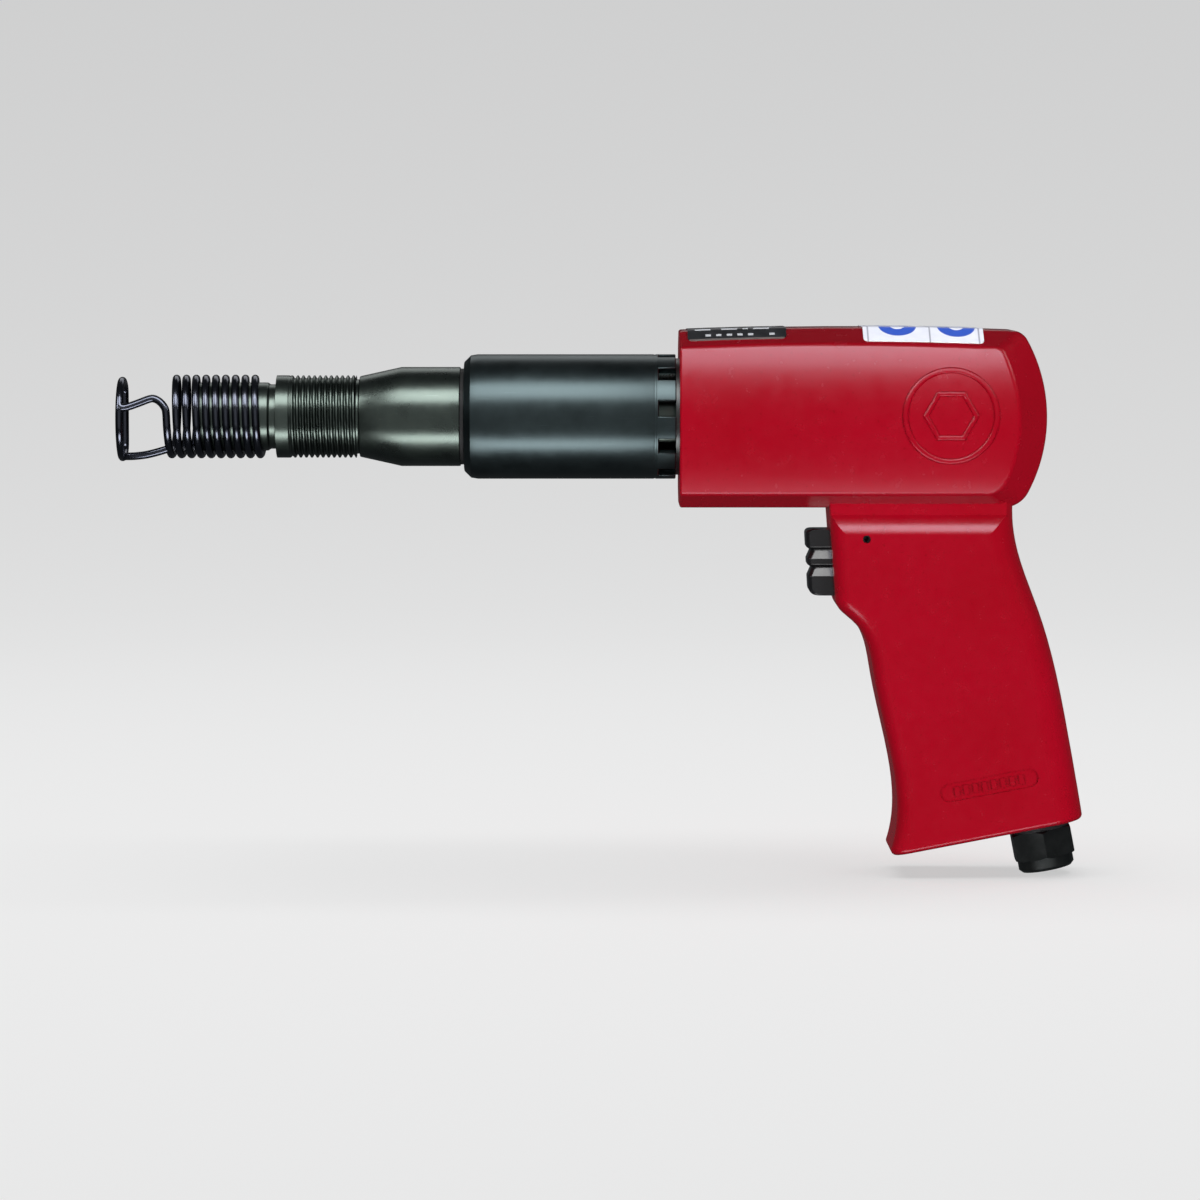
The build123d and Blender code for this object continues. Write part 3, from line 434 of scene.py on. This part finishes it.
def make_sleeve():
    """The sleeve as a closed tube, opened at its slots, with walls put round each slot."""
    front, rear, radius, inner, lip_radius = 85.7, 153.9, 20.1, 17.8, 15.05
    lip_length, chamfer, slot_depth, slot_width, slot_count = 6.0, 2.2, 5.6, 5.2, 10
    first_slot = 206.8 * DEGREE
    ring_x, ring_half_width, ring_depth = 147.2, 0.45, 0.18

    outline = softened([
        (front, lip_radius), (front, radius - chamfer - 0.3), (front + chamfer, radius - 0.35),
        (front + 2 * chamfer, radius),
        (ring_x - ring_half_width, radius), (ring_x, radius - ring_depth), (ring_x + ring_half_width, radius),
        (rear - slot_depth, radius), (rear, radius), (rear, inner), (rear - slot_depth, inner),
        (front + lip_length, inner), (front + lip_length, lip_radius),
    ], 0.6, sharp_turn=100)
    slot_front_outer, rear_outer, rear_inner, slot_front_inner = range(7, 11)

    slot_columns, tab_columns = 8, 11
    half_slot = math.asin(slot_width / 2 / radius)
    pitch = TURN / slot_count
    angles = []
    for slot in range(slot_count):
        middle_angle = first_slot + slot * pitch
        for column in range(slot_columns):
            angles.append(middle_angle - half_slot + 2 * half_slot * column / slot_columns)
        for column in range(tab_columns):
            angles.append(middle_angle + half_slot + (pitch - 2 * half_slot) * column / tab_columns)
    columns = len(angles)
    points, faces = turned(outline, angles)

    def corner(row, column):
        return row * columns + column % columns

    open_rows = range(slot_front_outer, slot_front_inner)
    kept = []
    for index, face in enumerate(faces):
        row, column = divmod(index, columns)
        in_slot = column % (slot_columns + tab_columns) < slot_columns
        if not (row in open_rows and in_slot):
            kept.append(face)
    for slot in range(slot_count):
        first = slot * (slot_columns + tab_columns)
        for column in range(first, first + slot_columns):
            kept.append((corner(slot_front_outer, column), corner(slot_front_outer, column + 1),
                         corner(slot_front_inner, column + 1), corner(slot_front_inner, column)))
        for column in (first, first + slot_columns):
            kept.append(tuple(corner(row, column) for row in
                              (slot_front_outer, rear_outer, rear_inner, slot_front_inner)))
    used = sorted({index for face in kept for index in face})
    renumbered = {old: new for new, old in enumerate(used)}
    sleeve = new_piece("exhaust_sleeve_slotted", [points[index] for index in used],
                       [tuple(renumbered[index] for index in face) for face in kept],
                       "tool", "blued_steel", "exhaust_sleeve")
    add_bevel(sleeve, 0.3)


make_sleeve()


# ------------------------------------------------------------------ retainer spring, one bent wire

def make_retainer():
    """The coil on the nose, the leg ahead of it, the ring that holds a chisel, and the leg back."""
    wire_radius, coil_radius, coil_pitch = 1.25, 12.3, 3.175
    coil_front, coil_turns, front_angle = -9.6, 9.6, math.pi
    ring_x, ring_radius, ring_drop, ring_flat = -24.75, 12.4, -0.8, 8.2
    steps_per_turn = 40

    def on_ring(degrees):
        return (ring_x, ring_radius * math.cos(degrees * DEGREE),
                ring_drop + ring_radius * math.sin(degrees * DEGREE))

    coil = []
    for step in range(round(coil_turns * steps_per_turn), 0, -1):
        turn = step / steps_per_turn
        angle = front_angle + turn * TURN
        coil.append((coil_front + turn * coil_pitch,
                     coil_radius * math.cos(angle), coil_radius * math.sin(angle)))
    leg_out = [(-9.7, -12.15, 1.6), (-10.2, -11.9, 3.3), (-11.6, -11.5, 5.0), (-13.3, -11.2, 6.0),
               (-15.0, -11.1, 6.0), (-18.5, -11.4, 4.7), (-21.6, -11.7, 3.6), (-23.4, -11.8, 3.2),
               (-24.5, -11.7, 3.6)]
    ring = [on_ring(degrees) for degrees in range(154, 57, -8)]
    flat_end, flat_corner, flat_corner_y = 6.6, 9.0, 7.8
    for y, rise in ((flat_corner_y, flat_corner), (ring_flat, flat_end), (ring_flat, 0),
                    (ring_flat, -flat_end), (flat_corner_y, -flat_corner)):
        ring.append((ring_x, y, ring_drop + rise))
    ring += [on_ring(degrees) for degrees in range(-58, -99, -8)]
    leg_back = [(-24.4, -3.2, -12.8), (-23.2, -4.3, -12.7), (-20.5, -5.1, -12.6), (-16.5, -5.8, -12.1),
                (-12.5, -6.5, -11.1), (-9.4, -7.0, -10.15)]
    near_side = [on_ring(degrees) for degrees in range(266, 149, -8)]

    main_wire = wire_along(smooth_path(coil + leg_out + ring + leg_back, 3), wire_radius)
    ring_end = wire_along(smooth_path(near_side, 3), wire_radius)
    points, faces = joined(main_wire, ring_end)
    new_piece("retainer_wire", points, faces, "retainer", "spring_steel", "retainer_spring")


make_retainer()


# ------------------------------------------------------------------ throttle spring

def make_throttle_spring():
    """The small spring behind the throttle valve, which the valve squashes; here it is drawn at one length
    and does not squash.
    """
    wire_radius, coil_radius, front, length, turns = 0.4, 3.4, 246.45, 10.9, 5
    throttle_z, chamber_rear, travel = -47.0, 258.0, 5.0
    steps = 30 * turns
    path = []
    for step in range(steps + 1):
        angle = step / steps * turns * TURN
        path.append(Vector((front + length * step / steps, coil_radius * math.cos(angle),
                            throttle_z + coil_radius * math.sin(angle))))
    points, faces = wire_along(path, wire_radius, sides=10)
    spring = new_piece("throttle_spring_wire", points, faces, "tool", "spring_steel", "throttle_spring")
    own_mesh(spring)


make_throttle_spring()


# ------------------------------------------------------------------ trigger

def make_trigger():
    """The push trigger: rounded ribs run round its front and sides."""
    front, back, top, bottom, half_width = 195.7, 220.0, -36.2, -57.5, 7.5
    rake, top_round, foot_round, corner_round = 1.2, 1.6, 2.6, 1.8
    groove_zs, groove_rise, groove_fall, groove_depth = (-42.9, -48.5), 1.1, 2.8, 1.3
    rib_reach, rib_fade, flat_share = 11.0, 3.0, 0.98
    rows, corner_steps, side_steps = 142, 6, 10

    def groove_at(z):
        """How far the face is set back: deepest at a groove's line, flat slopes above and below."""
        for groove_z in groove_zs:
            if groove_z <= z < groove_z + groove_rise:
                return groove_depth * (1 - (z - groove_z) / groove_rise)
            if groove_z - groove_fall < z < groove_z:
                return groove_depth * (1 - (groove_z - z) / groove_fall)
        return 0.0

    def end_round(z):
        """How far the face is set back near its top and foot."""
        for end_distance, radius in ((top - z, top_round), (z - bottom, foot_round)):
            if end_distance < radius:
                return radius - math.sqrt(radius ** 2 - (radius - end_distance) ** 2)
        return 0.0

    points = []
    for row in range(rows + 1):
        z = bottom + (top - bottom) * row / rows
        groove = groove_at(z)
        face_x = front + rake * (top - z) / (top - bottom) + groove + end_round(z)
        side_y = half_width - groove
        half_outline = [(face_x, 0.0)]
        for step in range(corner_steps + 1):
            angle = step / corner_steps * math.pi / 2
            half_outline.append((face_x + corner_round * (1 - math.cos(angle)),
                                 side_y - corner_round * (1 - math.sin(angle))))
        half_outline[1] = (face_x, (side_y - corner_round) * flat_share)
        for step in range(1, side_steps + 1):
            x = face_x + corner_round + (back - face_x - corner_round) * step / side_steps
            beyond = min(1.0, max(0.0, (x - front - rib_reach) / rib_fade))
            half_outline.append((x, side_y + (half_width - side_y) * beyond))
        far_half = [(x, -y) for x, y in reversed(half_outline[1:])]
        points.extend((x, y, z) for x, y in half_outline + far_half)
    columns = len(points) // (rows + 1)
    ends = [tuple(range(columns)), tuple(range(len(points) - columns, len(points)))]
    faces = ends + band_faces(rows + 1, columns)
    trigger = new_piece("trigger_ribbed", points, faces, "trigger", "black_plastic", "trigger",
                        sharp_angle=50)
    add_bevel(trigger, 0.5, angle=60)


make_trigger()


# ------------------------------------------------------------------ floor, light and camera

middle = (cad_low + cad_high) / 2
floor_z = cad_low.z


def pale_floor():
    """A pale floor that curves up into a round wall far behind everything."""
    centre_radius, ring_radius, floor_radius, curve_radius, wall_height = 0.02, 0.5, 1.0, 3.4, 4.4
    steps, sides = 32, 96
    profile = [(centre_radius, 0.0), (ring_radius, 0.0)]
    for step in range(steps + 1):
        angle = step / steps * math.pi / 2
        profile.append((floor_radius + curve_radius * math.sin(angle),
                        curve_radius * (1 - math.cos(angle))))
    profile.append((floor_radius + curve_radius, wall_height))
    points = []
    for radius, height in profile:
        for side in range(sides):
            turn = side / sides * TURN
            points.append((middle.x + radius * math.cos(turn), radius * math.sin(turn), floor_z + height))
    centre_face = tuple(reversed(range(sides)))
    mesh = bpy.data.meshes.new("floor")
    mesh.from_pydata(points, [], band_faces(len(profile), sides) + [centre_face])
    mesh.shade_smooth()
    floor = bpy.data.objects.new("floor", mesh)
    bpy.context.scene.collection.objects.link(floor)
    paper = Shader("floor_paper")
    mesh.materials.append(paper.set(Base_Color=(0.40, 0.40, 0.40), Roughness=0.95, Specular_IOR_Level=0.0,
                                    Emission_Color=(1.0, 1.0, 1.0), Emission_Strength=0.55))
    paper.material.cycles.emission_sampling = "NONE"
    floor.visible_shadow = False
    floor.visible_glossy = False
    floor.visible_diffuse = False
    return floor


def receivers(name, objects):
    """The objects that a lamp lights, as the collection that Blender wants for that."""
    group = bpy.data.collections.new(name)
    for receiver in objects:
        group.objects.link(receiver)
    return group


def soft_light(name, place, target, width, height, watts, lights, diffuse=True, glossy=True,
               colour=(1.0, 1.0, 1.0)):
    """A rectangular lamp that may light surfaces, show in reflections, or both."""
    data = bpy.data.lights.new(name, "AREA")
    data.shape = "RECTANGLE"
    data.size = width
    data.size_y = height
    data.energy = watts
    data.color = colour
    light = bpy.data.objects.new(name, data)
    bpy.context.scene.collection.objects.link(light)
    light.location = place
    light.rotation_euler = (Vector(target) - Vector(place)).to_track_quat("-Z", "Y").to_euler()
    light.light_linking.receiver_collection = lights
    light.visible_camera = False
    light.visible_diffuse = diffuse
    light.visible_glossy = glossy
    data.cycles.use_multiple_importance_sampling = glossy    # keeps the fills out of reflections


painted = frame["nodes"]["handle"]
tool_meshes = [item for item in bpy.context.scene.objects if item.type == "MESH"]
whole_tool = receivers("lit_tool", tool_meshes)
all_but_paint = receivers("lit_bare_parts", [item for item in tool_meshes if item != painted])
only_paint = receivers("lit_paint", [painted])
floor = pale_floor()
barrel_point = (middle.x, 0, 0)
body_point = (middle.x, 0, middle.z)


def reflected_box(name, elevation, height, watts, lights, colour=(1.0, 1.0, 1.0)):
    """A long lamp in front of the tool that shows in its reflections only."""
    distance, width = 1.15, 0.95
    place = (middle.x, -distance * math.cos(elevation * DEGREE), distance * math.sin(elevation * DEGREE))
    soft_light(name, place, barrel_point, width, height, watts, lights, diffuse=False, colour=colour)


cool_white = (0.93, 0.95, 1.10)
reflected_box("steel_upper_box", elevation=51, height=0.62, watts=11, lights=all_but_paint)
reflected_box("steel_lower_box", elevation=-51, height=0.36, watts=7.3, lights=all_but_paint)
reflected_box("paint_upper_box", elevation=35, height=0.50, watts=9.8, lights=only_paint, colour=cool_white)
reflected_box("paint_lower_box", elevation=-46, height=0.42, watts=5.2, lights=only_paint, colour=cool_white)
soft_light("front_glow", (middle.x, -1.7, 0), barrel_point, width=2.4, height=1.6, watts=3.5,
           lights=all_but_paint, diffuse=False)
for end, side, box_watts in (("nose", -1, 8), ("tail", 1, 3.5)):
    soft_light(end + "_upper_box", (middle.x + side * 1.25, -0.60, 0.98), barrel_point,
               width=0.5, height=0.7, watts=box_watts, lights=whole_tool, diffuse=False)
    soft_light(end + "_fill", (middle.x + side * 1.5, 0, 0.3), body_point,
               width=1.0, height=1.0, watts=3, lights=whole_tool, glossy=False)

fill_distance = 1.55
for end, azimuth in (("nose", -32), ("tail", 36)):
    place = (middle.x + fill_distance * math.sin(azimuth * DEGREE),
             -fill_distance * math.cos(azimuth * DEGREE), 0)
    soft_light(end + "_side_fill", place, body_point,
               width=0.8, height=1.4, watts=15.5, lights=whole_tool, glossy=False)
soft_light("rear_box", (middle.x, 0.95, 0.75), barrel_point, width=0.95, height=0.5, watts=1.5,
           lights=whole_tool, diffuse=False)
soft_light("rear_fill", (middle.x, 1.45, 0.10), body_point, width=1.6, height=1.0, watts=26,
           lights=whole_tool, glossy=False)
labels = [frame["nodes"]["top_label"], frame["nodes"]["front_label"]]
soft_light("label_light", (middle.x + 0.1, -0.35, 0.95), barrel_point, width=0.8, height=0.6, watts=7,
           lights=receivers("lit_labels", labels), glossy=False, colour=cool_white)
soft_light("floor_light", (middle.x, 0, floor_z + 1.8), (middle.x, 0, floor_z),
           width=2.0, height=2.0, watts=30, lights=receivers("lit_floor", [floor]), glossy=False)

world = bpy.data.worlds.new("studio")
bpy.context.scene.world = world
world.use_nodes = True
background = world.node_tree.nodes["Background"]
background.inputs["Color"].default_value = (0.88, 0.94, 1.0, 1)
background.inputs["Strength"].default_value = 0.05

camera_data = bpy.data.cameras.new("camera")
camera_data.lens = 150
camera_data.clip_end = 50
camera = bpy.data.objects.new("camera", camera_data)
bpy.context.scene.collection.objects.link(camera)
camera_elevation = 4 * DEGREE
camera_distance = 1.62
camera.location = (middle.x, -camera_distance * math.cos(camera_elevation),
                   middle.z + camera_distance * math.sin(camera_elevation))
camera.rotation_euler = (math.pi / 2 - camera_elevation, 0, 0)
bpy.context.scene.camera = camera
bpy.context.scene.view_settings.view_transform = "Standard"
